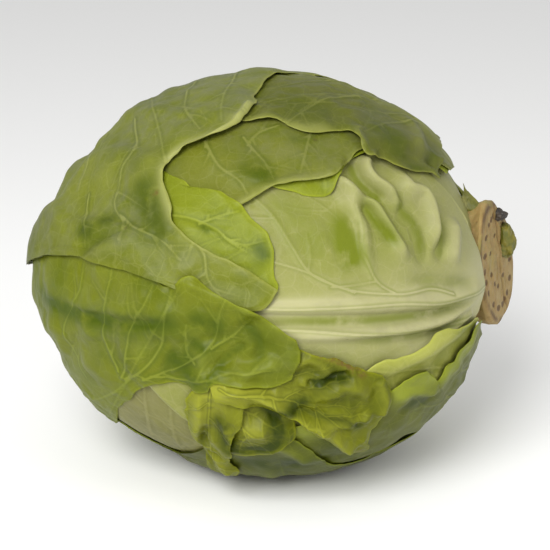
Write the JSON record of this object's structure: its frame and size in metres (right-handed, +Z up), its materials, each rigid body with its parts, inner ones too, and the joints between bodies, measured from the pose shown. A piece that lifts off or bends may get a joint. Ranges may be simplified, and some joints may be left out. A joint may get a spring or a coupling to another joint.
{
  "type": "cabbage head",
  "caption": "Head of white cabbage lying on its side: overlapping wrapper leaves and one pale inner leaf round a packed heart, with a short cut stalk.",
  "frame": {"origin": "middle of the underside of the whole head's box, on the surface that it rests on", "axes": "+X along the stem axis towards the cut stalk, +Z up; the pale front leaf faces -Y"},
  "size_m": [0.1972, 0.168, 0.1582],
  "materials": {
    "heart_leaf": "satin, pale yellow-green",
    "inner_leaf": "waxy satin, pale green with whitish ribs",
    "wrapper_leaf": "waxy satin, yellow-green with pale veins and a dusty bloom",
    "torn_leaf": "waxy satin, bright yellow-green, crumpled",
    "stalk": "matte, dry cut, tan with darker vessels"
  },
  "bodies": {
    "root": {"heart": "heart_leaf", "stalk": "stalk", "lower_inner_leaf": "inner_leaf", "front_leaf": "inner_leaf", "lower_right_leaf": "wrapper_leaf", "bottom_leaf": "wrapper_leaf", "upper_under_leaf": "inner_leaf", "upper_inner_leaf": "wrapper_leaf", "upper_right_leaf": "wrapper_leaf", "rear_upper_leaf": "wrapper_leaf", "rear_lower_leaf": "wrapper_leaf", "lower_middle_leaf": "wrapper_leaf", "middle_leaf": "wrapper_leaf", "upper_left_leaf": "wrapper_leaf", "torn_leaf": "torn_leaf", "lower_left_leaf": "wrapper_leaf"}
  },
  "joints": []
}
